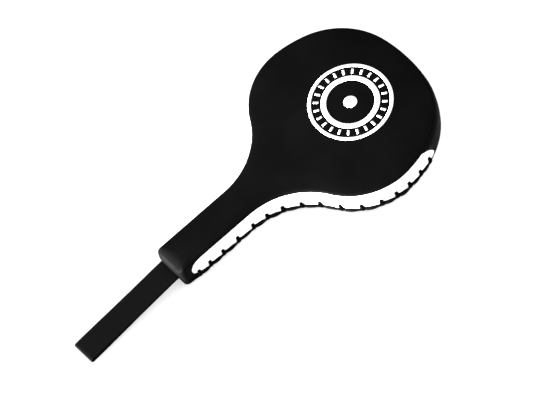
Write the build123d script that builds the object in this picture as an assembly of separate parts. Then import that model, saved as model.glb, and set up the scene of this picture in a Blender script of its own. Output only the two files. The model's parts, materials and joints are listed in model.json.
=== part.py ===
from build123d import *
import math
import os

# Kick paddle: a padded leather bat with a laced edge, a stiff handle and a folded webbing wrist strap.
# It lies on its back. X runs from the strap to the tip, Y across the paddle, Z out of the strike face.
# Everything is drawn with x = 0 at the butt of the handle, and moved to the shared origin when written.

# ---- driving dimensions, mm ----
PAD_LENGTH = 331.5  # butt to tip
THICKNESS = 34.0  # back face to strike face
HANDLE_HALF = 19.6  # half width of the handle at the butt
HANDLE_TAPER = 0.1  # degrees, the handle widens towards the head
HEAD_ARCS = ((171.5, 11.0), (83.5, 72.0), (143.5, 84.0), (76.5, 151.0))  # radius, end angle from +X
BUTT_CORNER = 4.0  # plan radius of the butt's corners

LEATHER = 1.6
COVER_ROLL = 2.6  # radius that the face rolls over its rim
SEAM_Z = 31.0  # seam between the front cover and the side walls
BACK_EDGE_Z = 6.0  # top of the back panel's turned edge
BACK_ROLL = 5.5  # radius that the back panel rolls over its rim
BACK_PROUD = 0.8  # the back panel's edge stands out from the walls
WALL = 1.5  # gusset leather

WHITE_START = 12.5  # x of the white gusset's rounded end at the butt
WHITE_SEAM_END = 265.0  # x where the white gusset ends, at the front seam
WHITE_BACK_END = 284.0  # x where it ends, at the back edge
WHITE_END_BOW = 2.8  # how far that end bows out from a straight line

BOARD_Z = 13.0  # underside of the stiffener
BOARD = 3.0
BOARD_MARGIN = 14.0  # leather edge to stiffener, round the head
BOARD_PLAY = 0.2  # clearance between the stiffener's edge and the back foam
GRIP_HALF = 10.5  # half width of the stiffener's tang and of the grip blocks
GRIP_START = 6.0
GRIP_END = 104.0
GRIP_CORNER = 4.0
DISC_START = 144.0  # x where the stiffener's disc begins
TANG_END = 164.0  # x where its tang has run into the disc
GRIP_TOP = 24.6
STRIKE_TOP = 26.0  # top of the firm foam
FOAM_MARGIN = 2.2
BACK_FOAM_MARGIN = 7.0  # the back foam stops short of the edge and leaves the lace its channel

RIVET_X = (18.0, 46.0, 72.0, 96.0)
RIVET_R = 2.0
RIVET_HEAD_R = 4.2
RIVET_HEAD = 1.1
TAIL_R = 3.2
WASHER_R = 5.0
WASHER = 0.8
SINK = 2.4  # depth of the counterbores in the grip blocks
RUNNING = 0.15  # clearance round the rivets

STRAP_WIDTH = 28.0
WEBBING = 1.6
STRAP_REACH = 126.0  # butt to the fold
ROOT_LENGTH = 58.0  # webbing held inside the handle
ROOT_PROUD = 0.6  # how far it stands out of the slit
ROOT_ROOM = 1.0  # space left beyond its inner end
HINGE_X = -2.6  # the strap bends here, just outside the slit
LOOP_HALF = 4.6  # half height of the loop at its fold
LOOP_START = 36.0  # length of strap, from the hinge, where its two layers lie together
LOOP_SWELL = 0.75  # share of the strap's length where the loop has nearly reached its full height
LOOP_RISE = 0.4  # height still to gain from there to the fold
SLIT_PLAY = 0.3

LACE_R = 1.25
# Arc lengths from the butt to the stitches on each side. They are sewn by hand and not quite even.
LACE_STOPS = (19, 34, 52, 72.5, 93.5, 111.5, 130, 150, 170, 192, 214, 235, 252, 269, 286, 303)
LACE_HOLE_Z = 13.5
LACE_HOLE_R = 1.6
LACE_SLANT = 0.5  # how far a stitch runs along the edge
LACE_BEND = 1.4  # bend radius of the lace's centre line
LACE_CLEAR = 0.12  # air between the lace and the leather that it lies on
LACE_TURN_DOWN = 2.0  # degrees down the rolled edge where a stitch meets it
LACE_FOOT = 0.5  # how much further it runs along as it goes round the edge
LACE_START_GAP = -4.1  # where each stitch starts, behind the wall
LACE_END_ROLL = 1.2  # where it comes through the back panel, from the roll's centre
ROLL_TURN = 37.0  # degrees down the rolled edge to the back panel's holes
KNOT_R = 1.9
KNOT_GRIP = 0.5  # how far the lace's end goes into its knot

PRINT_CENTRE = 254.0
PRINT_FILM = 0.15
PRINT_RINGS = ((45.0, 41.5), (31.0, 25.5))  # outer and inner radius of each ring
PRINT_DOT = 7.0
PRINT_TICKS = 24
TICK_LENGTH = 5.5
TICK_WIDTH = 2.2
TICK_RADIUS = 36.25  # middle of the ticks

# ---- worked-out places ----
STRAP_Z = BOARD_Z + BOARD + WEBBING  # mid height of the folded webbing in the handle
ORIGIN_X = (PAD_LENGTH + BACK_PROUD - STRAP_REACH) / 2  # middle of strap and pad together
PUNCH_RADII = (BACK_ROLL + LEATHER, BACK_ROLL - 2 * LEATHER)  # a punch's two ends, from the roll's centre
STITCH_RUN = LACE_SLANT + LACE_FOOT  # from a stitch's hole in the wall to its hole in the back panel
BIG = 600.0


def direction(angle):
    """Unit vector in plan at an angle in degrees from +X."""
    return Vector(math.cos(math.radians(angle)), math.sin(math.radians(angle)))


def arc(centre, radius, start, end):
    """Arc in plan between two angles in degrees."""
    middle = (start + end) / 2
    return ThreePointArc(*(centre + direction(a) * radius for a in (start, middle, end)))


def half_outline(gap):
    """Edges of the outline's +Y half, from the tip to the butt, moved outward by gap.

    The head is a chain of tangent arcs. The neck's arc is the one that runs on into the handle's side.
    """
    edges = []
    start, centre, before = 0.0, Vector(PAD_LENGTH, 0), 0.0
    for radius, end in HEAD_ARCS:
        centre = centre + direction(start) * (before - radius)
        edges.append(arc(centre, radius + gap, start, end))
        start, before = end, radius
    slope = math.tan(math.radians(HANDLE_TAPER))
    out = direction(start)
    shoulder = centre + out * before
    neck = (shoulder.Y - HANDLE_HALF - slope * shoulder.X) / (math.hypot(1, slope) - out.Y + slope * out.X)
    neck_centre = shoulder + out * neck
    edges.append(arc(neck_centre, neck - gap, start + 180, 270 + HANDLE_TAPER))
    butt = Vector(-gap, HANDLE_HALF - slope * gap + gap * math.hypot(1, slope))
    edges.append(Line(edges[-1] @ 1, butt))
    return edges


def outline(gap=0.0):
    """Face of the paddle's plan, moved outward by gap."""
    left = half_outline(gap)
    right = [edge.mirror(Plane.XZ) for edge in left]
    butt = Line(left[-1] @ 1, right[-1] @ 1)
    face = make_face([*left, butt, *right])
    corner = BUTT_CORNER + gap
    return fillet(face.vertices().sort_by(Axis.X)[:2], corner) if corner > 0.5 else face


def slab(gap, low, high, top=0.0, bottom=0.0):
    """The outline as a slab between two heights, with its top or bottom rim rolled."""
    body = Pos(0, 0, low) * extrude(outline(gap), high - low)
    if top:
        body = fillet(body.faces().sort_by(Axis.Z)[-1].edges(), top)
    if bottom:
        body = fillet(body.faces().sort_by(Axis.Z)[0].edges(), bottom)
    return body


def block(x0, x1, half_width, z0, z1):
    """Box between two x, two z, and half_width each side of the middle."""
    return Pos((x0 + x1) / 2, 0, (z0 + z1) / 2) * Box(x1 - x0, 2 * half_width, z1 - z0)


def pin(x, radius, z0, z1):
    """Upright cylinder on the middle line."""
    return Pos(x, 0, (z0 + z1) / 2) * Cylinder(radius, z1 - z0)


# ---- leather shell ----
def wall_ring():
    """The whole side wall, from the back edge up to the front seam."""
    return slab(0, BACK_EDGE_Z, SEAM_Z) - slab(-WALL, BACK_EDGE_Z, SEAM_Z)


def white_window():
    """Prism that cuts the white gusset out of the right wall: round at the butt, slanted at the tip."""
    height = SEAM_Z - BACK_EDGE_Z
    round_x = WHITE_START + height / 2
    above, below = (round_x, SEAM_Z), (round_x, BACK_EDGE_Z)
    butt_end = ThreePointArc(above, (WHITE_START, BACK_EDGE_Z + height / 2), below)
    back_end, seam_end = Vector(WHITE_BACK_END, BACK_EDGE_Z), Vector(WHITE_SEAM_END, SEAM_Z)
    slant = seam_end - back_end
    bowed = (back_end + seam_end) / 2 + Vector(slant.Y, -slant.X).normalized() * WHITE_END_BOW
    tip_end = ThreePointArc(back_end, bowed, seam_end)
    sides = [Line(below, back_end), Line(seam_end, above)]
    return extrude(Plane.XZ * make_face([butt_end, tip_end, *sides]), BIG)


def walls():
    """White gussets on both sides, the black tip gusset, and the black wall left at the butt."""
    ring = wall_ring()
    window = white_window()
    right = ring & window
    left = right.mirror(Plane.XZ)
    rest = ring - window - window.mirror(Plane.XZ)
    pieces = rest.solids().sort_by(Axis.X)
    return left, right, pieces[-1], pieces[0]


def front_cover(butt_wall):
    """Strike face with its rolled rim. It runs on over the butt, where the strap comes out of a slit."""
    face = slab(0, SEAM_Z, THICKNESS, top=COVER_ROLL)
    face -= slab(-LEATHER, SEAM_Z, THICKNESS - LEATHER, top=COVER_ROLL - LEATHER)
    half_slit = WEBBING + SLIT_PLAY
    slit = block(-WALL, 2 * WALL, STRAP_WIDTH / 2 + SLIT_PLAY, STRAP_Z - half_slit, STRAP_Z + half_slit)
    return face + butt_wall - slit


def back_cover():
    """Back panel with its edge turned up and round."""
    panel = slab(BACK_PROUD, 0, BACK_EDGE_Z, bottom=BACK_ROLL)
    return panel - slab(BACK_PROUD - LEATHER, LEATHER, BACK_EDGE_Z, bottom=BACK_ROLL - LEATHER)


# ---- inside ----
def core_board(grow=0.0):
    """Stiffener: a disc under the head with a tang that runs the length of the handle."""
    head = outline(-BOARD_MARGIN + grow) & (Pos(BIG / 2 + DISC_START, 0) * Rectangle(BIG, BIG))
    tang_size = Rectangle(TANG_END - GRIP_START, 2 * (GRIP_HALF + grow))
    tang = Pos((GRIP_START + TANG_END) / 2, 0) * tang_size
    return Pos(0, 0, BOARD_Z) * extrude(head + tang, BOARD)


def strap_root():
    """The webbing's two ends, laid on the stiffener's tang inside the handle."""
    return block(-ROOT_PROUD, ROOT_LENGTH, STRAP_WIDTH / 2, STRAP_Z - WEBBING, STRAP_Z + WEBBING)


def grip_block(low, high):
    """Half of the handle's wooden core, with its corners eased."""
    return fillet(block(GRIP_START, GRIP_END, GRIP_HALF, low, high).edges().filter_by(Axis.Z), GRIP_CORNER)


def rivets():
    """Tubular rivets through both grip blocks, with the head in front and the tail on a washer behind."""
    front, back = GRIP_TOP - SINK, LEATHER + SINK
    made = []
    for x in RIVET_X:
        head = pin(x, RIVET_HEAD_R, front, front + RIVET_HEAD)
        tail = pin(x, TAIL_R, back - WASHER - RIVET_HEAD, back - WASHER)
        made.append(pin(x, RIVET_R, back - WASHER, front) + head + tail)
    return made


def washers():
    """Flat washers under the rivets' tails."""
    back = LEATHER + SINK
    bore = RIVET_R + RUNNING
    return [pin(x, WASHER_R, back - WASHER, back) - pin(x, bore, 0, THICKNESS) for x in RIVET_X]


def drilled(body, counterbore=None):
    """The body with its rivet holes, and with counterbores if their two heights are given."""
    for x in RIVET_X:
        body -= pin(x, RIVET_R + RUNNING, 0, THICKNESS)
        if counterbore:
            body -= pin(x, WASHER_R + RUNNING, *counterbore)
    return body


# ---- wrist strap ----
def teardrop(start, start_half, fold, half):
    """Face of a loop in profile: from a narrow start, widening to a round fold."""
    upper = Spline(
        (-start, start_half),
        (-LOOP_SWELL * fold, half - LOOP_RISE),
        (-fold, half),
        tangents=((-1, 0), (-1, 0)),
    )
    fold_round = ThreePointArc((-fold, half), (-fold - half, 0), (-fold, -half))
    closing = Line((-start, start_half), (-start, -start_half))
    return make_face([upper, fold_round, upper.mirror(Plane.XZ), closing])


def wrist_strap():
    """Webbing loop outside the handle. It slopes down to the floor and opens a little towards its fold.

    Drawn along -X from the hinge and then turned down about it.
    """
    run = STRAP_REACH + HINGE_X - LOOP_HALF
    drop = STRAP_Z - LOOP_HALF
    fold = math.hypot(run, drop)
    layers = Pos(-LOOP_START / 2, 0) * Rectangle(LOOP_START, 2 * WEBBING) + Circle(WEBBING)
    loop = teardrop(LOOP_START, WEBBING, fold, LOOP_HALF)
    hole = teardrop(LOOP_START + WEBBING, SLIT_PLAY, fold, LOOP_HALF - WEBBING)
    strap = extrude(Plane.XZ * (layers + loop - hole), STRAP_WIDTH / 2, both=True)
    return Pos(HINGE_X, 0, STRAP_Z) * Rot(0, -math.degrees(math.asin(drop / fold)), 0) * strap


# ---- edge lacing ----
def edge_place(edge, length, gap, z):
    """Point at an arc length along the open edge, moved outward by gap, at a height."""
    foot = edge.position_at(length, position_mode=PositionMode.LENGTH)
    along = edge.tangent_at(length, position_mode=PositionMode.LENGTH)
    out = Vector(along.Y, -along.X)
    return foot + out * gap + Vector(0, 0, z)


def roll_place(radius, angle):
    """Outward gap and height of a point round the back panel's rolled edge."""
    turn = math.radians(angle)
    return BACK_PROUD - BACK_ROLL + radius * math.cos(turn), BACK_ROLL - radius * math.sin(turn)


def lace_stitch(edge, here, following):
    """One stitch: out of the wall, down over the edge, in through the back panel, on to the next hole."""
    over = BACK_ROLL + LACE_R + LACE_CLEAR
    foot = here + STITCH_RUN
    points = [
        edge_place(edge, here, LACE_START_GAP, LACE_HOLE_Z),
        edge_place(edge, here, LACE_R + LACE_CLEAR, LACE_HOLE_Z),
        edge_place(edge, here + LACE_SLANT, *roll_place(over, LACE_TURN_DOWN)),
        edge_place(edge, foot, *roll_place(over, ROLL_TURN)),
        edge_place(edge, foot, *roll_place(LACE_END_ROLL, ROLL_TURN)),
    ]
    if following:
        points.append(edge_place(edge, following, LACE_START_GAP, LACE_HOLE_Z))
    path = FilletPolyline(*points, radius=LACE_BEND)
    section = Plane(path @ 0, z_dir=path % 0) * Circle(LACE_R)
    return sweep(section, path)


def edge_lacing(edge, stops):
    """The right side's lace, from the butt towards the tip. Each stitch starts where the last one ends."""
    return [lace_stitch(edge, here, following) for here, following in zip(stops, [*stops[1:], None])]


def punch(outer, inner):
    """Cylinder that cuts a lace hole between two points."""
    aim = inner - outer
    return Solid.make_cylinder(LACE_HOLE_R, aim.length, Plane(outer, z_dir=aim))


def lace_holes(edge, stops):
    """Punches through the wall and through the back panel's edge."""
    wall, back = [], []
    for here in stops:
        foot = here + STITCH_RUN
        wall.append(punch(*(edge_place(edge, here, gap, LACE_HOLE_Z) for gap in (WALL, -2 * WALL))))
        back.append(punch(*(edge_place(edge, foot, *roll_place(r, ROLL_TURN)) for r in PUNCH_RADII)))
    return wall, back


def lace_knots(edge, stops):
    """Stopper knots on the lace's two ends, inside the cover."""
    first = edge_place(edge, stops[0], LACE_START_GAP - KNOT_R + KNOT_GRIP, LACE_HOLE_Z)
    end_roll = LACE_END_ROLL - KNOT_R + KNOT_GRIP
    last = edge_place(edge, stops[-1] + STITCH_RUN, *roll_place(end_roll, ROLL_TURN))
    return [Pos(first) * Sphere(KNOT_R), Pos(last) * Sphere(KNOT_R)]


# ---- print ----
def target_print():
    """Film on the strike face: a plain target of two rings, a ring of ticks and a centre dot."""
    shapes = [Circle(outer) - Circle(inner) for outer, inner in PRINT_RINGS]
    shapes.append(Circle(PRINT_DOT))
    tick = Pos(TICK_RADIUS, 0) * Rectangle(TICK_LENGTH, TICK_WIDTH)
    for i in range(PRINT_TICKS):
        shapes.append(Rot(0, 0, i * 360 / PRINT_TICKS) * tick)
    return [Pos(PRINT_CENTRE, 0, THICKNESS) * extrude(shape, PRINT_FILM) for shape in shapes]


def write(name, *bodies):
    """Write one node, moved to the shared origin."""
    solids = [solid for body in bodies for solid in body.solids()]
    placed = [Pos(-ORIGIN_X, 0, 0) * solid for solid in solids]
    export_step(placed[0] if len(placed) == 1 else Compound(children=placed), f"parts/{name}.step")


def lacing_line():
    """Open line round the foot of the wall, from the right butt corner past the tip to the left one."""
    left = half_outline(0)
    return Wire([*left, *[edge.mirror(Plane.XZ) for edge in left]])


def both_sides(bodies):
    """The right side's bodies and their mirror images on the left."""
    return [*bodies, *[body.mirror(Plane.XZ) for body in bodies]]


def main():
    os.makedirs("parts", exist_ok=True)
    gusset_left, gusset_right, tip_wall, butt_wall = walls()
    edge = lacing_line()
    wall_punches, back_punches = (both_sides(group) for group in lace_holes(edge, LACE_STOPS))
    root_end = ROOT_LENGTH + ROOT_ROOM
    root_room = block(0, root_end, STRAP_WIDTH / 2 + SLIT_PLAY, BOARD_Z, STRAP_Z + WEBBING)

    write("front_cover", front_cover(butt_wall))
    write("back_cover", back_cover() - back_punches)
    write("side_gusset_left", gusset_left - wall_punches)
    write("side_gusset_right", gusset_right - wall_punches)
    write("tip_gusset", tip_wall)

    top_foam = slab(-FOAM_MARGIN, STRIKE_TOP, THICKNESS - LEATHER, top=COVER_ROLL - LEATHER)
    write("face_foam", top_foam)
    strike = slab(-FOAM_MARGIN, BOARD_Z + BOARD, STRIKE_TOP)
    front_block = grip_block(BOARD_Z + BOARD, GRIP_TOP)
    write("strike_foam", strike - front_block - root_room)
    back = slab(-BACK_FOAM_MARGIN, LEATHER, BOARD_Z + BOARD)
    write("back_foam", back - block(-BIG, GRIP_END, BIG, 0, THICKNESS) - core_board(BOARD_PLAY))
    write("core_board", drilled(core_board()))
    write("grip_block_front", drilled(front_block - root_room, (GRIP_TOP - SINK, THICKNESS)))
    write("grip_block_back", drilled(grip_block(LEATHER, BOARD_Z), (0, LEATHER + SINK)))
    write("grip_rivets", *rivets())
    write("rivet_washers", *washers())
    write("strap_root", drilled(strap_root()))
    write("wrist_strap", wrist_strap())
    lace = edge_lacing(edge, LACE_STOPS)
    write("edge_lacing_right", *lace)
    write("edge_lacing_left", *[stitch.mirror(Plane.XZ) for stitch in lace])
    write("lace_knots", *both_sides(lace_knots(edge, LACE_STOPS)))
    write("target_print", *target_print())
    print("edge", round(edge.length, 1), "last stitch", LACE_STOPS[-1], "origin x", ORIGIN_X)


main()
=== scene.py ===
import bpy
import bmesh
import json
import math
import random
import numpy as np
from mathutils import Matrix, Vector
from mathutils.bvhtree import BVHTree


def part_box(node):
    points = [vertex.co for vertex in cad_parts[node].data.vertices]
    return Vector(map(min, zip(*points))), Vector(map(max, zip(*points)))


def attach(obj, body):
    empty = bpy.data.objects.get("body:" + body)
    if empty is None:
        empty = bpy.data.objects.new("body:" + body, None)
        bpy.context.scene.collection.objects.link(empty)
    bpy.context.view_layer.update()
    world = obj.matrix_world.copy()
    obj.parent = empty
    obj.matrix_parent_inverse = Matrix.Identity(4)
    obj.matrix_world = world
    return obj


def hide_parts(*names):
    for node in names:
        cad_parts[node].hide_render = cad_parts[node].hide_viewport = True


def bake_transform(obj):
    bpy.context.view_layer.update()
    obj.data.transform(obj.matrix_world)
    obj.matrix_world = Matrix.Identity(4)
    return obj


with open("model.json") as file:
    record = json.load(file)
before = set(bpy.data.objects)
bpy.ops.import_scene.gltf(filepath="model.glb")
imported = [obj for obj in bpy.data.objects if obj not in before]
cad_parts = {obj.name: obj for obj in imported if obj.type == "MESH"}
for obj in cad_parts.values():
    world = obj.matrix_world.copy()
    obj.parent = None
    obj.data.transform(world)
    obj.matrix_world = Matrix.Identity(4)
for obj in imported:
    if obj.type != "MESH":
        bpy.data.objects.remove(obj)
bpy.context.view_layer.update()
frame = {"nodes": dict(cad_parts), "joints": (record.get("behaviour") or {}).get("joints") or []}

MM = 0.001

# ---- sizes in mm, with x = 0 at the butt of the handle ----
PAD_LENGTH = 331.5
THICKNESS = 34.0
HANDLE_HALF = 19.6
HANDLE_TAPER = 0.1
HEAD_ARCS = ((171.5, 11.0), (83.5, 72.0), (143.5, 84.0), (76.5, 151.0))  # radius, end angle from +X
BUTT_CORNER = 4.0
SEAM_Z = 31.0
BACK_EDGE_Z = 6.0
BACK_ROLL = 5.5
BACK_PROUD = 0.8
WHITE_START = 12.5
WHITE_SEAM_END = 265.0
WHITE_BACK_END = 284.0
WHITE_END_BOW = 2.8
# Arc lengths from the butt to the stitches on each side, which are sewn by hand and not quite even.
LACE_STOPS = (19, 34, 52, 72.5, 93.5, 111.5, 130, 150, 170, 192, 214, 235, 252, 269, 286, 303)
LACE_HOLE_Z = 13.5
LACE_RUN = 1.0  # from a stitch's hole in the wall to its hole in the back panel
HOLE_SPREAD = 0.6  # the most that a hole is off that height
STITCH_LEAN = 0.3
LACE_HALF_SIZE = (1.9, 1.2)  # the flat lace's half width and half thickness
PRINT_CENTRE = 254.0
PRINT_RINGS = ((45.0, 41.5), (31.0, 25.5), (7.0, 0.4))  # outer and inner radii, the last of the dot
PRINT_TICKS = 24
TICK_SIZE = (5.5, 2.2)
TICK_RADIUS = 36.25
STRAP_WIDTH = 28.0
WEBBING = 1.6
STRAP_REACH = 126.0
ROOT_LENGTH = 58.0
LOOP_HALF = 2.9
LOOP_START = 36.0
# From the webbing's middle to its thicker woven edge: shares of its half width and of its half thickness.
WEBBING_PROFILE = [(0, 0.9), (0.3, 0.9), (0.6, 0.9), (0.87, 0.88), (0.9, 1.0), (0.96, 0.95), (0.985, 0.55)]

BUTT_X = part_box("front_cover")[0][0] / MM  # where the butt is in the shared frame
HINGE_X = frame["joints"][0]["pos_m"][0] / MM - BUTT_X
STRAP_Z = frame["joints"][0]["pos_m"][2] / MM

# ---- how the covers are sewn and filled ----
PITCH = 2.2  # size of a mesh face along the edge
EDGE_PITCH = 1.1  # the same along the laced edge
COVER = 1.4  # thickness of the black leather
GUSSET = 1.2  # thickness of the side leather
RIM_ROLL = THICKNESS - SEAM_Z  # the face rolls over its rim down to the seam
BUTT_ROLL = (12.5, 8.5)  # at the butt it rolls over further: across, and down
CROWN = 1.0  # rise of the strike face before the foam presses it out
CROWN_REACH = 38.0
BUTT_CROWN = 0.3  # share of that rise that is left at the butt
HANDLE_SPINE = (30.0, 80.0)  # between them along the spine it grows to the whole
SWELL = 1.5  # the most that the foam presses any point of it out
SWELL_FROM = BUTT_X + 34.0  # nearer the butt the face is held down
SWELL_FRAMES = 20
RELAX_ROUNDS = 80
BUTT_LEAN = (-2.4, 2.0)  # how far the butt's wall stands out at its foot and at its top
GUSSET_BULGE = 1.3
DIMPLE = (1.0, 2.6)  # how deep and how wide the lace pulls a wall in round a hole
GROOVE = (0.7, 2.8)  # the same under a stitch
EDGE_OUT = (0.2, 2.6)  # how far the back edge stands out at a stitch, and how much further between two
EDGE_TOP = (2.8, 5.4)  # the same for how high it reaches
EDGE_BESIDE = 8.0  # how steeply it rises on the tip's side of a stitch
PAD_UNDER = 2.0  # the soft layer lies this far under the face's surface
PAD_FOOT = 26.5  # height of its underside
SLIT_HALF = (STRAP_WIDTH / 2 + 0.3, WEBBING + 0.25)


def smooth(value, low, high):
    """0 below low, 1 above high, and a soft step between."""
    t = np.clip((value - low) / (high - low), 0.0, 1.0)
    return t * t * (3 - 2 * t)


def turn(angle):
    return np.array([math.cos(math.radians(angle)), math.sin(math.radians(angle))])


# ---- the outline, walked by arc length from the tip, + on the left side ----
def left_run():
    """Arcs and lines of the outline's +Y half, from the tip to the middle of the butt."""
    run = []
    start, centre, before = 0.0, np.array([PAD_LENGTH, 0.0]), 0.0
    for radius, end in HEAD_ARCS:
        centre = centre + turn(start) * (before - radius)
        run.append(("arc", (centre, radius, start, end), radius * math.radians(end - start)))
        start, before = end, radius
    slope = math.tan(math.radians(HANDLE_TAPER))
    steep = math.hypot(1, slope)
    out = turn(start)
    shoulder = centre + out * before
    neck = (shoulder[1] - HANDLE_HALF - slope * shoulder[0]) / (steep - out[1] + slope * out[0])
    neck_turn = (start + 180, 270 + HANDLE_TAPER)
    neck_centre = shoulder + out * neck
    run.append(("hollow", (neck_centre, neck, *neck_turn), neck * math.radians(neck_turn[0] - neck_turn[1])))
    handle_from = neck_centre + turn(neck_turn[1]) * neck
    corner_y = HANDLE_HALF + slope * BUTT_CORNER - BUTT_CORNER * steep
    corner = np.array([BUTT_CORNER, corner_y])
    handle_to = corner + turn(90 + HANDLE_TAPER) * BUTT_CORNER
    run.append(("line", (handle_from, handle_to), float(np.linalg.norm(handle_to - handle_from))))
    corner_length = BUTT_CORNER * math.radians(90 - HANDLE_TAPER)
    run.append(("arc", (corner, BUTT_CORNER, 90 + HANDLE_TAPER, 180.0), corner_length))
    run.append(("line", (np.array([0.0, corner_y]), np.array([0.0, 0.0])), corner_y))
    return run


RUN = left_run()
HALF = sum(part[2] for part in RUN)  # arc length from the tip to the middle of the butt
LACE_HALF = HALF - RUN[-1][2] - RUN[-2][2] + BUTT_CORNER  # the lace's line ends as if the corner were square


def left_point(length):
    """Point and outward normal on the +Y half, at an arc length from the tip."""
    for kind, data, size in RUN:
        if length <= size + 1e-9:
            break
        length -= size
    if kind == "line":
        along = (data[1] - data[0]) / size
        return data[0] + along * length, np.array([along[1], -along[0]])
    centre, radius, start, end = data
    ray = turn(start + (end - start) * length / size)
    return centre + ray * radius, ray if kind == "arc" else -ray


def rim(s):
    """Point and outward normal at arc length s from the tip, positive on the +Y side."""
    point, normal = left_point(min(abs(s), HALF))
    side = np.array([1.0, 1.0 if s >= 0 else -1.0])
    return point * side, normal * side


TABLE_S = np.linspace(0.0, HALF - RUN[-1][2], 1500)
TABLE_X = np.array([left_point(s)[0][0] for s in TABLE_S])


def length_at(x):
    """Arc length from the tip to where the outline's half is at x."""
    return float(np.interp(-x, -TABLE_X, TABLE_S))


# ---- lace stops ----
def lace_stops():
    """For each stitch, from the butt on: the hole's arc length from the tip, and three small differences.

    They are numbers from -1 to 1, for the hole's height, the edge's swell beside it and the stitch's lean.
    """
    dice = random.Random(11)
    return [(LACE_HALF - along, [dice.uniform(-1, 1) for _ in range(3)]) for along in LACE_STOPS]


STOPS = lace_stops()
HOLE_S = np.array([stop[0] for stop in STOPS])
FOOT_S = HOLE_S - LACE_RUN  # where a stitch goes round the back edge


# ---- leather surfaces ----
WINDOW_HALF = (SEAM_Z - BACK_EDGE_Z) / 2
WINDOW_Z = (SEAM_Z + BACK_EDGE_Z) / 2
ROUND_X = WHITE_START + WINDOW_HALF
S_ROUND = length_at(ROUND_X)
S_CORNER = HALF - RUN[-1][2] - RUN[-2][2]
# (arc length on the rim, x on the middle line that a cover's rows run to from there)
SPINE = ((0.0, 264.0), (length_at(150.0), 150.0), (length_at(48.0), 52.0), (HALF, 30.0))


def butt_share(s):
    """0 along the sides and 1 at the butt."""
    return float(smooth(abs(s), S_CORNER - 3, HALF - 7))


def spine_point(s):
    """Point on the middle line that the rows of a cover run to from arc length s."""
    return np.array([np.interp(abs(s), *zip(*SPINE)), 0.0])


def inward(s, share):
    """Direction from the rim towards the middle: square to the rim, but towards the spine at the butt."""
    point, normal = rim(s)
    aim = spine_point(s) - point
    way = -normal * (1 - share) + aim / np.linalg.norm(aim) * share
    return way / np.linalg.norm(way)


def roll_size(s):
    share = butt_share(s)
    return RIM_ROLL + (BUTT_ROLL[0] - RIM_ROLL) * share, RIM_ROLL + (BUTT_ROLL[1] - RIM_ROLL) * share


def bulge(s, z):
    """How far the butt's wall stands out at a height: over the strap it swells, and its foot is drawn in."""
    share = float(smooth(abs(s), S_CORNER - 3, HALF - 11))
    return share * (BUTT_LEAN[0] + (BUTT_LEAN[1] - BUTT_LEAN[0]) * float(smooth(z, 0, 24)))


def wall_point(s, z, gap=0.0):
    """Point of the side wall's surface at a height, following the roll where it comes down past the seam."""
    point, normal = rim(s)
    across, down = roll_size(s)
    inset = 0.0
    over = (z - (THICKNESS - down)) / down
    if over > 0:
        inset = across * (1 - math.sqrt(max(0.0, 1 - min(over, 1.0) ** 2)))
    xy = point + inward(s, butt_share(s)) * inset + normal * (gap + bulge(s, z))
    return np.array([xy[0], xy[1], z])


def crown(distance, reach, spine_x):
    """Rise of the strike face at a distance inside its rim. The spine, at a distance of reach, is level."""
    reach = min(reach, CROWN_REACH)
    part = reach / CROWN_REACH
    grown = BUTT_CROWN + (1 - BUTT_CROWN) * float(smooth(spine_x, *HANDLE_SPINE))
    rise = CROWN * part * (2 - part) * grown
    t = np.clip(distance / reach, 0, 1)
    return rise * t * (2 - t)


def face_points(s, rows, roll_rows):
    """Points of the strike cover down a column: from the spine over the face, and round the roll."""
    point, _ = rim(s)
    across, down = roll_size(s)
    way = inward(s, butt_share(s))
    start = point + way * across
    spine = spine_point(s)
    reach = np.linalg.norm(start - spine)
    out = []
    for i in range(rows):
        share = 1 - (1 - i / rows) ** 1.5
        xy = spine + (start - spine) * share
        out.append([xy[0], xy[1], THICKNESS + crown(reach * (1 - share), reach, spine[0])])
    end = math.acos(np.clip((SEAM_Z - THICKNESS + down) / down, -1, 1))
    for i in range(roll_rows + 1):
        angle = end * i / roll_rows
        xy = start - way * across * math.sin(angle)
        out.append([xy[0], xy[1], THICKNESS - down + down * math.cos(angle)])
    swell = rim(s)[1] * bulge(s, SEAM_Z)
    for i in range(roll_rows + 1):
        share = i / roll_rows
        out[rows + i][0] += swell[0] * share
        out[rows + i][1] += swell[1] * share
    return out


def columns(breaks, pitch=PITCH):
    """Arc lengths from the first break to the last, evenly spaced between breaks, without the last."""
    out = []
    for a, b in zip(breaks, breaks[1:]):
        count = max(1, round((b - a) / pitch))
        out += [a + (b - a) * i / count for i in range(count)]
    return out


def shell_object(name, points, faces, thickness, levels=1):
    """Mesh piece from points in mm, given a thickness inward and a subdivided surface."""
    mesh = bpy.data.meshes.new(name)
    placed = (np.array(points) + [BUTT_X, 0, 0]) * MM
    mesh.from_pydata(placed.tolist(), [], faces)
    for polygon in mesh.polygons:
        polygon.use_smooth = True
    obj = bpy.data.objects.new(name, mesh)
    bpy.context.scene.collection.objects.link(obj)
    if thickness:
        solid = obj.modifiers.new("thickness", "SOLIDIFY")
        solid.thickness = thickness * MM
        solid.offset = -1
        solid.use_even_offset = False
    if levels:
        subdivide = obj.modifiers.new("subdivide", "SUBSURF")
        subdivide.levels = levels
        subdivide.render_levels = levels
    return obj


def merged(obj, distance=0.02):
    """Join the points of a mesh that lie together, such as both halves' points on the spine."""
    work = bmesh.new()
    work.from_mesh(obj.data)
    bmesh.ops.remove_doubles(work, verts=work.verts, dist=distance * MM)
    bmesh.ops.dissolve_degenerate(work, edges=work.edges, dist=distance * MM)
    work.to_mesh(obj.data)
    work.free()
    for polygon in obj.data.polygons:
        polygon.use_smooth = True
    return obj


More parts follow.
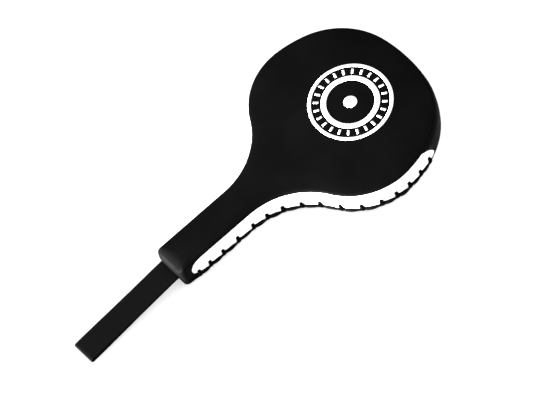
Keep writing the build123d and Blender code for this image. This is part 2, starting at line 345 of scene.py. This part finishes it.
def grid_faces(index, wrap, keep=None, flip=False):
    """Quads over a table of point numbers, rows by columns. -1 marks a place with no point."""
    faces = []
    rows, count = index.shape
    for i in range(rows - 1):
        for j in range(count if wrap else count - 1):
            k = (j + 1) % count
            quad = [index[i, j], index[i + 1, j], index[i + 1, k], index[i, k]]
            if min(quad) < 0 or (keep and not keep(i, j)):
                continue
            faces.append([int(q) for q in (quad[::-1] if flip else quad)])
    return faces


def wall_heights():
    """Heights of the rows down the side wall, and how many there are between its marks.

    They are closer near the window's ends, where it is round, and two of them are the slit's top and bottom.
    """
    marks = [SEAM_Z, STRAP_Z + SLIT_HALF[1], STRAP_Z - SLIT_HALF[1], BACK_EDGE_Z]
    angles = [math.asin(np.clip((z - WINDOW_Z) / WINDOW_HALF, -1, 1)) for z in marks]
    counts = (9, 3, 8)
    turns = []
    for a, b, count in zip(angles, angles[1:], counts):
        turns += [a + (b - a) * i / count for i in range(count)]
    return [WINDOW_Z + WINDOW_HALF * math.sin(a) for a in [*turns, angles[-1]]], counts


HEIGHTS, HEIGHT_COUNTS = wall_heights()


def window_butt_end(z):
    """Arc length of the white window's round end at a height."""
    return length_at(ROUND_X - math.sqrt(max(0.0, WINDOW_HALF**2 - (z - WINDOW_Z) ** 2)))


def window_tip_end(z):
    """Arc length of its slanted end at a height. The end is an arc that bows towards the tip."""
    back, seam = np.array([WHITE_BACK_END, BACK_EDGE_Z]), np.array([WHITE_SEAM_END, SEAM_Z])
    chord = seam - back
    half = np.linalg.norm(chord) / 2
    radius = (half**2 + WHITE_END_BOW**2) / (2 * WHITE_END_BOW)
    out = np.array([chord[1], -chord[0]]) / (2 * half)
    centre = (back + seam) / 2 - out * (radius - WHITE_END_BOW)
    return length_at(centre[0] + math.sqrt(radius**2 - (z - centre[1]) ** 2))


def make_strike_cover():
    """Face, rolled rim and the flap that runs on down over the butt, with the strap's slit."""
    face_rows, roll_rows = 22, 5
    slit_scale = (HALF - window_butt_end(STRAP_Z)) / (HALF - S_ROUND)
    slit_y = SLIT_HALF[0]
    corner_angle = math.acos((slit_y - (HANDLE_HALF - BUTT_CORNER)) / BUTT_CORNER)
    slit_half = (HANDLE_HALF - BUTT_CORNER) + BUTT_CORNER * (math.pi / 2 - corner_angle)
    s_slit = HALF - slit_half / slit_scale
    stops = columns([-HALF, -s_slit, -S_ROUND, 0.0, S_ROUND, s_slit, HALF])
    points = []
    for s in stops:
        points += face_points(s, face_rows, roll_rows)
    depth = face_rows + roll_rows + 1
    count = len(stops)
    index = -np.ones((depth + len(HEIGHTS) - 1 + 2, count), int)
    for j in range(count):
        index[:depth, j] = range(j * depth, (j + 1) * depth)
    lower = [*HEIGHTS[1:], BACK_EDGE_Z - 2, BACK_EDGE_Z - 4]
    for i, z in enumerate(lower):
        scale = (HALF - window_butt_end(max(z, BACK_EDGE_Z))) / (HALF - S_ROUND)
        tuck = -0.5 * smooth(-z, -BACK_EDGE_Z - 1, -BACK_EDGE_Z + 2)
        for j, s in enumerate(stops):
            if abs(s) < S_ROUND - 1e-6:
                continue
            along = math.copysign(HALF - (HALF - abs(s)) * scale, s)
            index[depth + i, j] = len(points)
            points.append(wall_point(along, z, tuck))
    top = depth - 1 + HEIGHT_COUNTS[0]
    bottom = top + HEIGHT_COUNTS[1]

    def keep(i, j):
        middle = (stops[j] + (stops[j + 1] if j + 1 < count else HALF)) / 2
        return not (top <= i < bottom and abs(middle) > s_slit)

    cover = merged(shell_object("strike_cover", points, grid_faces(index, True, keep), COVER))
    relax_face(cover)
    fill_face(cover)
    return cover


def relax_face(obj):
    """Soften the padded face between its rolled edges, so that its hips don't show as creases."""
    work = bmesh.new()
    work.from_mesh(obj.data)
    top = [v for v in work.verts if v.co.z > (THICKNESS + 0.1) * MM]
    for _ in range(RELAX_ROUNDS):
        bmesh.ops.smooth_vert(work, verts=top, factor=0.5, use_axis_z=True)
    work.to_mesh(obj.data)
    work.free()


def fill_face(obj):
    """Let the foam press the face out, by a cloth simulation held at the rim. The mesh takes its result."""
    scene = bpy.context.scene
    trial = bpy.data.objects.new("filling", obj.data.copy())
    scene.collection.objects.link(trial)
    lowest, nearest = (THICKNESS - 0.2) * MM, SWELL_FROM * MM
    loose = [v.index for v in obj.data.vertices if v.co.z > lowest and v.co.x > nearest]
    held = trial.vertex_groups.new(name="held")
    held.add(sorted(set(range(len(obj.data.vertices))) - set(loose)), 1.0, "ADD")
    cloth = trial.modifiers.new("cloth", "CLOTH")
    cloth.settings.vertex_group_mass = "held"
    cloth.settings.quality = 5
    cloth.settings.use_pressure = True
    cloth.settings.uniform_pressure_force = 4.0
    cloth.settings.effector_weights.gravity = 0.0
    cloth.collision_settings.use_collision = False
    cloth.point_cache.frame_start = 1
    cloth.point_cache.frame_end = SWELL_FRAMES
    for number in range(SWELL_FRAMES):
        scene.frame_set(number + 1)
    filled = trial.evaluated_get(bpy.context.evaluated_depsgraph_get()).to_mesh()
    steps = [filled.vertices[i].co - obj.data.vertices[i].co for i in loose]
    scale = min(1.0, SWELL * MM / max(step.length for step in steps))
    for i, step in zip(loose, steps):
        obj.data.vertices[i].co += step * scale
    bpy.data.objects.remove(trial)
    scene.frame_set(1)


def make_face_pad():
    """The soft layer under the strike face: a closed pad that follows the face and its rolls from inside."""
    face_rows, roll_rows = 12, 4
    stops = columns([-HALF, 0.0, HALF], 2 * PITCH)
    points = []
    for s in stops:
        column = np.array(face_points(s, face_rows, roll_rows))
        way = inward(s, butt_share(s))
        column[face_rows:, :2] += way * PAD_UNDER
        column[:, 2] -= PAD_UNDER
        middle = np.append(spine_point(s), PAD_FOOT)
        foot = np.append(column[-1, :2], PAD_FOOT)
        points += [*column.tolist(), foot.tolist(), *(foot + (middle - foot) * k / 4 for k in range(1, 5))]
    depth = len(points) // len(stops)
    index = np.arange(len(points)).reshape(len(stops), depth).T
    return merged(shell_object("face_pad", points, grid_faces(index, True), 0, 0))


def dimple(s, z):
    """How far the lace pulls a side wall in, round its holes and down to the back edge."""
    near = np.abs(HOLE_S - abs(s))
    k = int(np.argmin(near))
    hole_z = LACE_HOLE_Z + HOLE_SPREAD * STOPS[k][1][0]
    hole = math.exp(-((near[k] / DIMPLE[1]) ** 2) - ((z - hole_z) / DIMPLE[1]) ** 2)
    slant = HOLE_S[k] - abs(s) - LACE_RUN * np.clip((hole_z - z) / (hole_z - 4), 0, 1)
    groove = math.exp(-((slant / GROOVE[1]) ** 2)) * smooth(-z, -hole_z - 1, -hole_z + 3)
    return DIMPLE[0] * hole + GROOVE[0] * groove


def make_wall_piece(name, start, end, under):
    """A side wall piece between two ends, given by height. Its rim lies under its neighbours' edges."""
    extra = 1.6
    heights = [SEAM_Z + 1.2, *HEIGHTS, BACK_EDGE_Z - 2, BACK_EDGE_Z - 4]
    middle = max(1, round((end(WINDOW_Z) - start(WINDOW_Z)) / PITCH))
    points = []
    index = np.zeros((len(heights), middle + 3), int)
    for i, z in enumerate(heights):
        held = min(max(z, BACK_EDGE_Z), SEAM_Z)
        a, b = start(held), end(held)
        places = [a - extra, *(a + (b - a) * k / middle for k in range(middle + 1)), b + extra]
        for j, s in enumerate(places):
            from_end = min(s - a, b - s)
            from_top = SEAM_Z - z
            from_foot = z - BACK_EDGE_Z + 1.5
            fill = GUSSET_BULGE * float(smooth(from_end, 0, 7))
            fill *= math.sqrt(np.clip(min(from_top, from_foot) / 7.0, 0, 1))
            gap = fill - dimple(s, z) - under * (1 - float(smooth(from_end, 0, 2.5)))
            gap -= 0.5 * (1 - float(smooth(from_top, 0, 2.5)))
            if from_end < -0.01:
                gap = -1.7
            if from_top < -0.01:
                gap = min(gap, -1.7)
            gap -= 0.7 * float(smooth(-z, -BACK_EDGE_Z, -BACK_EDGE_Z + 2))
            index[i, j] = len(points)
            points.append(wall_point(s, z, gap))
    return shell_object(name, points, grid_faces(index, False), GUSSET)


def edge_shape(s):
    """(how far the back edge stands out, how high it reaches) at an arc length.

    Each stitch pulls the edge in. The edge swells between stitches, and rises on the tip's side of each one.
    """
    after = int(np.searchsorted(-FOOT_S, -abs(s)))  # stitches between here and the butt
    if after == 0:
        share = float(smooth(abs(s) - FOOT_S[0], 0, 9))
        tuck = float(smooth(abs(s), S_CORNER - 3, S_CORNER + 3))
        return EDGE_OUT[0] + 0.8 * share - 3.2 * tuck, EDGE_TOP[0] + 3.7 * share
    gap = FOOT_S[after - 1] - abs(s)
    uneven = STOPS[after - 1][1]
    beside = EDGE_BESIDE * math.exp(-gap / 2.3) * (1 - math.exp(-gap / 0.4))
    if after == len(FOOT_S):
        share = float(smooth(gap, 0, 10))
        return EDGE_OUT[0] - 0.4 * share, EDGE_TOP[0] + 2.4 * share + beside
    t = gap / (FOOT_S[after - 1] - FOOT_S[after])
    lens = math.sin(math.pi * min(t, 1.0) ** 0.85) ** 0.7
    swell = EDGE_OUT[1] * lens * (1 + 0.2 * uneven[1])
    return EDGE_OUT[0] + swell, EDGE_TOP[0] + EDGE_TOP[1] * lens + beside


def make_back_panel():
    """Flat back panel with its edge turned up, scalloped by the lace."""
    rows, roll_rows, top_rows = 9, 8, 4
    marks = [-HALF, -S_ROUND, -length_at(WHITE_BACK_END), length_at(WHITE_BACK_END), S_ROUND, HALF]
    stops = columns(marks, EDGE_PITCH)
    depth = rows + roll_rows + 1 + top_rows + 2
    points = []
    for s in stops:
        point, _ = rim(s)
        # Its rows turn towards the spine sooner than the face's, so that they don't cross inside the corners.
        out = -inward(s, float(smooth(abs(s), S_CORNER - 24, HALF - 12)))
        swell, top = edge_shape(s)
        start = point - out * (BACK_ROLL - BACK_PROUD)
        spine = spine_point(s)
        for i in range(rows):
            share = 1 - (1 - i / rows) ** 1.4
            xy = spine + (start - spine) * share
            points.append([xy[0], xy[1], 0.0])
        height = min(BACK_ROLL, top - 1.0)
        for i in range(roll_rows + 1):
            angle = math.pi / 2 * i / roll_rows
            gap = (BACK_ROLL + swell * math.sin(angle) ** 2) * math.sin(angle)
            xy = start + out * gap
            points.append([xy[0], xy[1], height * (1 - math.cos(angle))])
        edge = BACK_PROUD + swell
        lean = min(1.0, max(0.0, top - BACK_EDGE_Z) / 4)  # where it stands high it leans on the side wall
        for i in range(1, top_rows + 1):
            share = i / top_rows
            xy = point + out * (edge + (0.6 - edge) * lean * share**2)
            points.append([xy[0], xy[1], height + (top - 0.4 - height) * share])
        edge += (0.6 - edge) * lean
        for gap, z in ((edge - 0.4, top), (edge - 1.4, top + 0.05)):
            xy = point + out * gap
            points.append([xy[0], xy[1], z])
    index = np.arange(len(stops) * depth).reshape(len(stops), depth).T
    return merged(shell_object("back_panel", points, grid_faces(index, True, flip=True), COVER, 0))


# ---- lace ----
def catmull(points, per_span):
    """Smooth run of points through the given ones."""
    pts = np.array(points, float)
    padded = np.vstack([2 * pts[0] - pts[1], pts, 2 * pts[-1] - pts[-2]])
    out = []
    for i in range(len(pts) - 1):
        p0, p1, p2, p3 = padded[i : i + 4]
        for k in range(per_span):
            t = k / per_span
            out.append(
                0.5 * (2 * p1 + (p2 - p0) * t + (2 * p0 - 5 * p1 + 4 * p2 - p3) * t**2
                       + (3 * p1 - p0 - 3 * p2 + p3) * t**3)
            )
    out.append(pts[-1])
    return np.array(out)


def flat_tube(line, half_widths, half_thickness, wide_ways, sides):
    """Points and faces of an oval tube with closed ends. Each point has a half width and its direction."""
    tangents = np.gradient(line, axis=0)
    tangents /= np.linalg.norm(tangents, axis=1)[:, None]
    across = wide_ways[0]
    points = []
    for place, along, half_width, wide in zip(line, tangents, half_widths, wide_ways):
        square = math.sqrt(max(0.0, 1 - np.dot(wide, along) ** 2))  # 0 where the tube runs that way itself
        across = across + (wide - across) * float(smooth(square, 0.3, 0.8))
        across = across - along * np.dot(across, along)
        across /= np.linalg.norm(across)
        up = np.cross(along, across)
        for k in range(sides):
            a = 2 * math.pi * k / sides
            points.append(place + half_width * math.cos(a) * across + half_thickness * math.sin(a) * up)
    index = np.arange(len(line) * sides).reshape(len(line), sides)
    faces = grid_faces(index, True, flip=True)
    first, last = len(points), len(points) + 1
    points += [line[0], line[-1]]
    for k in range(sides):
        n = (k + 1) % sides
        faces.append([first, int(index[0, n]), int(index[0, k])])
        faces.append([last, int(index[-1, k]), int(index[-1, n])])
    return points, faces


def lace_place(s, gap, z):
    point, normal = rim(np.clip(s, -HALF, HALF))
    xy = point + normal * gap
    return [xy[0], xy[1], z]


def make_lace(name, side):
    """One side's lace, whipped over the back edge.

    At each stitch it comes out of the wall, goes down round the edge, in, and on to the next hole.
    A route point is arc length, distance out from the rim, height, and how wide the lace is spread there.
    """
    route = []
    for s, uneven in STOPS:
        z = LACE_HOLE_Z + HOLE_SPREAD * uneven[0]
        run = LACE_RUN
        lean = STITCH_LEAN * uneven[2]
        route += [
            (s, -4.2, z, 0.8),
            (s, -1.2, z, 0.8),
            (s - 0.1 - 0.3 * lean, 0.9, z, 1.0),
            (s - 0.25 * run - lean, 1.5, z - 2.6, 1.15),
            (s - 0.65 * run - lean, 1.6, 7.8, 1.4),
            (s - 0.95 * run, 1.2, 4.2, 1.5),
            (s - run, -0.2, 1.9, 1.2),
            (s - run - 0.5, -2.6, 3.4, 0.9),
            (s - run - 2.5, -4.4, 6.5, 0.8),
        ]
    wide, thick = LACE_HALF_SIZE
    knots = [[*lace_place(side * s, gap, z), wide * spread, side * s] for s, gap, z, spread in route]
    line = catmull(knots, 4)
    normals = [rim(s)[1] for s in line[:, 4]]
    along_edge = [np.array([normal[1], -normal[0], 0.0]) for normal in normals]
    points, faces = flat_tube(line[:, :3], line[:, 3], thick, along_edge, 12)
    return shell_object(name, points, faces, 0, 0)


# ---- strap ----
def strap_line():
    """Middle line of the webbing in profile: root, slit, out along the top, round the fold and back."""
    run = STRAP_REACH + HINGE_X - LOOP_HALF
    drop = STRAP_Z - LOOP_HALF
    reach = math.hypot(run, drop)
    lean = math.asin(drop / reach)
    half = LOOP_HALF - WEBBING / 2
    thin = WEBBING / 2 + 0.03
    top = [(ROOT_LENGTH - x, thin) for x in np.linspace(0, ROOT_LENGTH, 14)[:-1]]
    for t in np.linspace(0, 1, 46):
        far = t * reach
        rise = thin + (half - thin) * float(smooth(far, LOOP_START, reach * 0.97))
        top.append((HINGE_X - far if t else 0.0, rise))
    for k in range(1, 8):
        a = math.pi / 2 * k / 8
        top.append((HINGE_X - reach - half * math.sin(a), half * math.cos(a)))
    line = [*top, (HINGE_X - reach - half, 0.0), *[(x, -z) for x, z in reversed(top)]]
    placed = []
    for x, z in line:
        if x < HINGE_X:
            dx = x - HINGE_X
            x = HINGE_X + dx * math.cos(lean) - z * math.sin(lean)
            z = dx * math.sin(lean) + z * math.cos(lean)
        placed.append((x, z + STRAP_Z))
    return np.array(placed)


def make_strap():
    """Flat webbing with thicker woven edges, swept along the strap's line. UVs are its width and length."""
    line = strap_line()
    steps = np.concatenate([[0], np.cumsum(np.linalg.norm(np.diff(line, axis=0), axis=1))])
    tangent = np.gradient(line, axis=0)
    tangent /= np.linalg.norm(tangent, axis=1)[:, None]
    normal = np.stack([tangent[:, 1], -tangent[:, 0]], axis=1)
    half, thick = STRAP_WIDTH / 2, WEBBING / 2
    profile = []
    for sign in (1, -1):
        for y, h in [(-y, h) for y, h in WEBBING_PROFILE[:0:-1]] + WEBBING_PROFILE:
            profile.append((sign * y * half, sign * h * thick))
    points = []
    for (x, z), out in zip(line, normal):
        for y, h in profile:
            points.append([x + out[0] * h, y, z + out[1] * h])
    sides = len(profile)
    index = np.arange(len(points)).reshape(len(line), sides)
    faces = grid_faces(index, True)
    faces.append([int(i) for i in index[0]])
    faces.append([int(i) for i in index[-1][::-1]])
    strap = shell_object("strap_webbing", points, faces, 0, 1)
    layer = strap.data.uv_layers.new(name="weave")
    for loop in strap.data.loops:
        row, side = divmod(loop.vertex_index, sides)
        layer.data[loop.index].uv = (profile[side][0] * MM, steps[row] * MM)
    work = bmesh.new()
    work.from_mesh(strap.data)
    bmesh.ops.recalc_face_normals(work, faces=work.faces)
    work.to_mesh(strap.data)
    work.free()
    return strap


# ---- print ----
def make_print(cover):
    """Plain target of two rings, ticks and a dot, laid on the strike face as a thin film."""
    tree = BVHTree.FromObject(cover, bpy.context.evaluated_depsgraph_get())
    points, faces = [], []

    def patch(outline_rows, wrap):
        index = np.zeros((len(outline_rows), len(outline_rows[0])), int)
        for i, row in enumerate(outline_rows):
            for j, (x, y) in enumerate(row):
                index[i, j] = len(points)
                points.append((x, y))
        faces.extend(grid_faces(index, wrap))

    for outer, inner in PRINT_RINGS:
        steps = max(2, round((outer - inner) / 1.5))
        around = max(48, round(outer * 4))
        radii = [inner + (outer - inner) * i / steps for i in range(steps + 1)]
        patch([[tuple(turn(360 * k / around) * r) for k in range(around)] for r in radii], True)
    for i in range(PRINT_TICKS):
        way = turn(i * 360 / PRINT_TICKS)
        side = np.array([-way[1], way[0]])
        along = np.linspace(-0.5, 0.5, 5) * TICK_SIZE[0] + TICK_RADIUS
        wide = np.linspace(-0.5, 0.5, 3) * TICK_SIZE[1]
        patch([[tuple(way * r + side * w) for w in wide] for r in along], False)
    placed = []
    for x, y in points:
        start = Vector(((BUTT_X + PRINT_CENTRE + x) * MM, y * MM, 2 * THICKNESS * MM))
        hit = tree.ray_cast(start, Vector((0, 0, -1)))[0]
        placed.append([PRINT_CENTRE + x, y, hit.z / MM + 0.13])
    return shell_object("target_mark", placed, faces, 0.11, 0)


# ---- materials ----
class Nodes:
    """Short names for building a node material."""

    def __init__(self, name, color, roughness, specular=0.5):
        self.material = bpy.data.materials.new(name)
        self.material.use_nodes = True
        self.tree = self.material.node_tree
        self.shader = self.tree.nodes["Principled BSDF"]
        self.shader.inputs["Base Color"].default_value = (*color, 1)
        self.shader.inputs["Roughness"].default_value = roughness
        self.shader.inputs["Specular IOR Level"].default_value = specular

    def add(self, kind, **values):
        node = self.tree.nodes.new(kind)
        for key, value in values.items():
            if key in node.inputs:
                node.inputs[key].default_value = value
            else:
                setattr(node, key, value)
        return node

    def link(self, source, target):
        self.tree.links.new(source, target)
        return source

    def place(self, scale=1.0, uv=False):
        coords = self.add("ShaderNodeTexCoord")
        mapping = self.add("ShaderNodeMapping")
        mapping.inputs["Scale"].default_value = scale if hasattr(scale, "__len__") else (scale, scale, scale)
        self.link(coords.outputs["UV" if uv else "Object"], mapping.inputs["Vector"])
        return mapping.outputs["Vector"]

    def noise(self, vector, scale, detail=3.0, rough=0.5):
        node = self.add("ShaderNodeTexNoise", Scale=scale, Detail=detail, Roughness=rough)
        self.link(vector, node.inputs["Vector"])
        return node.outputs["Fac"]

    def ramp(self, value, *stops):
        node = self.add("ShaderNodeValToRGB")
        elements = node.color_ramp.elements
        while len(elements) < len(stops):
            elements.new(0.5)
        for element, (place, color) in zip(elements, stops):
            element.position = place
            element.color = (*color, 1) if hasattr(color, "__len__") else (color, color, color, 1)
        self.link(value, node.inputs["Fac"])
        return node.outputs["Color"]

    def math(self, operation, a, b=None, clamp=False):
        node = self.add("ShaderNodeMath", operation=operation, use_clamp=clamp)
        for socket, value in zip(node.inputs, (a, b)):
            if value is None:
                continue
            if isinstance(value, (int, float)):
                socket.default_value = value
            else:
                self.link(value, socket)
        return node.outputs["Value"]

    def bump(self, height, strength, distance):
        node = self.add("ShaderNodeBump", Strength=strength, Distance=distance * MM)
        self.link(height, node.inputs["Height"])
        self.link(node.outputs["Normal"], self.shader.inputs["Normal"])

    def color(self, value, *stops):
        self.link(self.ramp(value, *stops), self.shader.inputs["Base Color"])

    def rough(self, value, low, high):
        self.link(self.ramp(value, (0.25, low), (0.75, high)), self.shader.inputs["Roughness"])


def leather(name, dark, light, rough, specular, grain):
    """Fine-grained coated leather: pebbles with creases between them, and a slow change of tone."""
    made = Nodes(name, light, rough[0], specular)
    where = made.place()
    cells = made.add("ShaderNodeTexVoronoi", feature="DISTANCE_TO_EDGE", Scale=1000 / grain)
    wobble = made.add("ShaderNodeTexNoise", Scale=1000 / (3 * grain), Detail=2.0)
    made.link(where, wobble.inputs["Vector"])
    mix = made.add("ShaderNodeVectorMath", operation="MULTIPLY_ADD")
    made.link(wobble.outputs["Color"], mix.inputs[0])
    mix.inputs[1].default_value = (grain * MM, grain * MM, grain * MM)
    made.link(where, mix.inputs[2])
    made.link(mix.outputs["Vector"], cells.inputs["Vector"])
    pebble = made.ramp(cells.outputs["Distance"], (0.0, 0.0), (0.18, 0.8), (0.6, 1.0))
    slow = made.noise(where, 22.0, 4.0)
    fine = made.noise(where, 900.0, 3.0)
    made.color(made.math("ADD", made.math("MULTIPLY", slow, 0.7), made.math("MULTIPLY", pebble, 0.3)),
               (0.3, dark), (0.7, light))
    made.rough(slow, *rough)
    made.bump(made.math("ADD", pebble, made.math("MULTIPLY", fine, 0.4)), 0.35, 0.12)
    return made.material


def webbing_material():
    """Woven webbing: ribs across it, each broken into yarns, from the strap's own length and width."""
    made = Nodes("black_webbing", (0.003, 0.003, 0.003), 0.85, 0.01)
    split = made.add("ShaderNodeSeparateXYZ")
    made.link(made.place(1.0, uv=True), split.inputs["Vector"])
    tau = 2 * math.pi
    along = made.math("MULTIPLY", split.outputs["Y"], tau / (1.7 * MM))
    across = made.math("MULTIPLY", split.outputs["X"], tau / (1.5 * MM))
    side = made.math("SIGN", made.math("SINE", across))
    shifted = made.math("ADD", along, made.math("MULTIPLY", side, math.pi / 2))
    yarn = made.math("MULTIPLY", made.math("SINE", shifted), 0.5)
    ridge = made.math("ABSOLUTE", made.math("SINE", across))
    height = made.math("ADD", made.math("ADD", yarn, 0.5), made.math("MULTIPLY", ridge, 0.6))
    fuzz = made.noise(made.place(), 1500.0, 2.0)
    height = made.math("ADD", height, made.math("MULTIPLY", fuzz, 0.3))
    tone = made.math("MULTIPLY", height, 0.5)
    made.color(tone, (0.15, (0.0003, 0.0003, 0.0003)), (0.9, (0.0013, 0.0013, 0.0014)))
    made.bump(height, 0.6, 0.25)
    return made.material


def lace_material():
    """Flat waxed lace with a fine twist."""
    made = Nodes("black_lace", (0.001, 0.001, 0.001), 0.7, 0.0)
    where = made.place()
    wave = made.add("ShaderNodeTexWave", Scale=420.0, Distortion=2.0, Detail=2.0)
    wave.bands_direction = "DIAGONAL"
    made.link(where, wave.inputs["Vector"])
    made.color(wave.outputs["Fac"], (0.1, (0.0004, 0.0004, 0.0004)), (0.9, (0.0014, 0.0014, 0.0014)))
    made.rough(made.noise(where, 200.0), 0.65, 0.8)
    made.bump(wave.outputs["Fac"], 0.4, 0.15)
    return made.material


def print_material():
    """White ink, worn through in specks so that the leather's colour shows."""
    made = Nodes("white_ink", (0.85, 0.85, 0.84), 0.6, 0.3)
    where = made.place()
    specks = made.noise(where, 260.0, 5.0, 0.7)
    scuffs = made.noise(made.place((40.0, 160.0, 40.0)), 1.0, 4.0, 0.6)
    wear = made.math("MULTIPLY", specks, scuffs)
    made.color(wear, (0.10, (0.02, 0.02, 0.02)), (0.145, (0.72, 0.72, 0.71)), (0.3, (0.93, 0.93, 0.92)))
    made.bump(specks, 0.25, 0.08)
    return made.material


def foam_material(name, low, high, pore):
    """Cellular foam."""
    made = Nodes(name, high, 0.9, 0.2)
    where = made.place()
    cells = made.add("ShaderNodeTexVoronoi", Scale=1000 / pore)
    made.link(where, cells.inputs["Vector"])
    made.color(cells.outputs["Distance"], (0.1, high), (0.7, low))
    made.bump(cells.outputs["Distance"], 0.5, 0.3)
    return made.material


def wood_material(name, low, high, stretch):
    """Straight-grained wood, with its grain along the paddle."""
    made = Nodes(name, high, 0.6, 0.3)
    where = made.place((8.0, stretch, stretch))
    rings = made.noise(where, 6.0, 6.0, 0.65)
    made.color(rings, (0.35, low), (0.65, high))
    made.rough(rings, 0.5, 0.7)
    made.bump(rings, 0.3, 0.2)
    return made.material


def steel_material():
    """Nickel-plated steel with fine scratches."""
    made = Nodes("nickel_steel", (0.6, 0.6, 0.61), 0.3)
    made.shader.inputs["Metallic"].default_value = 1.0
    scratches = made.noise(made.place((300.0, 3000.0, 300.0)), 1.0, 4.0)
    made.color(scratches, (0.3, (0.5, 0.5, 0.51)), (0.7, (0.66, 0.66, 0.67)))
    made.rough(scratches, 0.22, 0.4)
    made.bump(scratches, 0.1, 0.02)
    return made.material


def dress(obj, material):
    obj.data.materials.clear()
    obj.data.materials.append(material)


# ---- assemble ----
black = leather("black_leather", (0.001, 0.001, 0.001), (0.002, 0.002, 0.002), (0.5, 0.62), 0.01, 0.9)
white = leather("white_leather", (0.88, 0.88, 0.87), (0.96, 0.96, 0.95), (0.45, 0.6), 0.3, 1.0)
webbing = webbing_material()
lace = lace_material()
soft_foam = foam_material("soft_foam", (0.5, 0.5, 0.47), (0.75, 0.75, 0.72), 1.2)

strike_cover = make_strike_cover()
back_panel = make_back_panel()
right_wall = make_wall_piece("gusset_right", lambda z: -window_butt_end(z), lambda z: -window_tip_end(z), 0.5)
left_wall = make_wall_piece("gusset_left", window_tip_end, window_butt_end, 0.5)
tip_wall = make_wall_piece("gusset_tip", lambda z: -window_tip_end(z), window_tip_end, 0.0)
lace_right = make_lace("lace_right", -1)
lace_left = make_lace("lace_left", 1)
face_pad = make_face_pad()
strap = make_strap()
target_mark = make_print(strike_cover)

for obj, material, node_names, slot in (
    (strike_cover, black, ["front_cover"], "black_leather"),
    (back_panel, black, ["back_cover"], "black_leather"),
    (right_wall, white, ["side_gusset_right"], "white_leather"),
    (left_wall, white, ["side_gusset_left"], "white_leather"),
    (tip_wall, black, ["tip_gusset"], "black_leather"),
    (lace_right, lace, ["edge_lacing_right"], "lace"),
    (lace_left, lace, ["edge_lacing_left"], "lace"),
    (face_pad, soft_foam, ["face_foam"], "soft_foam"),
    (target_mark, print_material(), ["target_print"], "print_film"),
):
    dress(obj, material)
    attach(obj, "paddle")
    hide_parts(*node_names)

dress(strap, webbing)
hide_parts("wrist_strap", "strap_root")
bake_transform(strap)

inner = {
    "strike_foam": foam_material("firm_foam", (0.06, 0.065, 0.075), (0.13, 0.135, 0.15), 0.7),
    "core_board": wood_material("plywood", (0.42, 0.28, 0.16), (0.66, 0.48, 0.3), 60.0),
    "grip_block_front": wood_material("beech", (0.38, 0.24, 0.13), (0.58, 0.4, 0.24), 90.0),
    "grip_rivets": steel_material(),
    "lace_knots": lace,
}
inner["back_foam"] = inner["strike_foam"]
inner["grip_block_back"] = inner["grip_block_front"]
inner["rivet_washers"] = inner["grip_rivets"]
for name, material in inner.items():
    dress(frame["nodes"][name], material)


# ---- floor, light and camera ----
def make_floor():
    mesh = bpy.data.meshes.new("floor")
    size = 6.0
    corners = [(-size, -size, 0), (size, -size, 0), (size, size, 0), (-size, size, 0)]
    mesh.from_pydata(corners, [], [(0, 1, 2, 3)])
    floor = bpy.data.objects.new("floor", mesh)
    bpy.context.scene.collection.objects.link(floor)
    made = Nodes("pale_floor", (0.9, 0.9, 0.9), 0.9, 0.1)
    dress(floor, made.material)
    return floor


def area_light(name, place, target, size, power):
    light = bpy.data.lights.new(name, "AREA")
    light.shape = "DISK"
    light.size = size
    light.energy = power
    obj = bpy.data.objects.new(name, light)
    obj.location = place
    obj.rotation_euler = (Vector(target) - Vector(place)).to_track_quat("-Z", "Y").to_euler()
    bpy.context.scene.collection.objects.link(obj)
    return obj


def keep_off(light, obj):
    """Leave one object out of what a light falls on."""
    group = bpy.data.collections.new(f"not_lit_by_{light.name}")
    group.objects.link(obj)
    group.collection_objects[0].light_linking.link_state = "EXCLUDE"
    light.light_linking.receiver_collection = group


def make_world(strength):
    world = bpy.data.worlds.new("studio")
    world.use_nodes = True
    background = world.node_tree.nodes["Background"]
    background.inputs["Color"].default_value = (1, 1, 1, 1)
    background.inputs["Strength"].default_value = strength
    bpy.context.scene.world = world


# The view: turned and tilted about the paddle, seen from far off, so that it looks nearly parallel.
VIEW_AZIMUTH, VIEW_ELEVATION, VIEW_ROLL = -24.17, 60.1, -19.73
VIEW_WIDTH = 550.0  # mm across the picture
AIM = (170.0, 0.0, 19.0)  # mm
AIM_OFFSET = (-27.4, -39.3)  # mm, the picture's middle from there, along and up the picture
LENS, SENSOR = 1000.0, 36.0


def make_camera():
    a, e, roll = (math.radians(v) for v in (VIEW_AZIMUTH, VIEW_ELEVATION, VIEW_ROLL))
    back = Vector((math.sin(a) * math.cos(e), -math.cos(a) * math.cos(e), math.sin(e)))
    right = Vector((math.cos(a), math.sin(a), 0))
    up = back.cross(right)
    turned_right = right * math.cos(roll) + up * math.sin(roll)
    turned_up = up * math.cos(roll) - right * math.sin(roll)
    aim = Vector((AIM[0] + BUTT_X, AIM[1], AIM[2]))
    centre = aim + turned_right * AIM_OFFSET[0] + turned_up * AIM_OFFSET[1]
    distance = VIEW_WIDTH * LENS / SENSOR
    data = bpy.data.cameras.new("camera")
    data.lens = LENS
    data.sensor_width = SENSOR
    data.clip_end = 60
    camera = bpy.data.objects.new("camera", data)
    basis = Matrix((turned_right, turned_up, back)).transposed()
    camera.matrix_world = Matrix.Translation((centre + back * distance) * MM) @ basis.to_4x4()
    bpy.context.scene.collection.objects.link(camera)
    bpy.context.scene.camera = camera


floor = make_floor()
make_world(1.1)
wide_light = area_light("wide", (0.9, -1.3, 1.6), (0, 0, 0), 1.8, 42)
wide_light.data.use_shadow = False
low_light = area_light("low", (-2.0, 0.3, 0.22), (-0.15, 0, 0), 0.6, 1250)
keep_off(low_light, floor)
make_camera()
bpy.context.scene.view_settings.view_transform = "Standard"
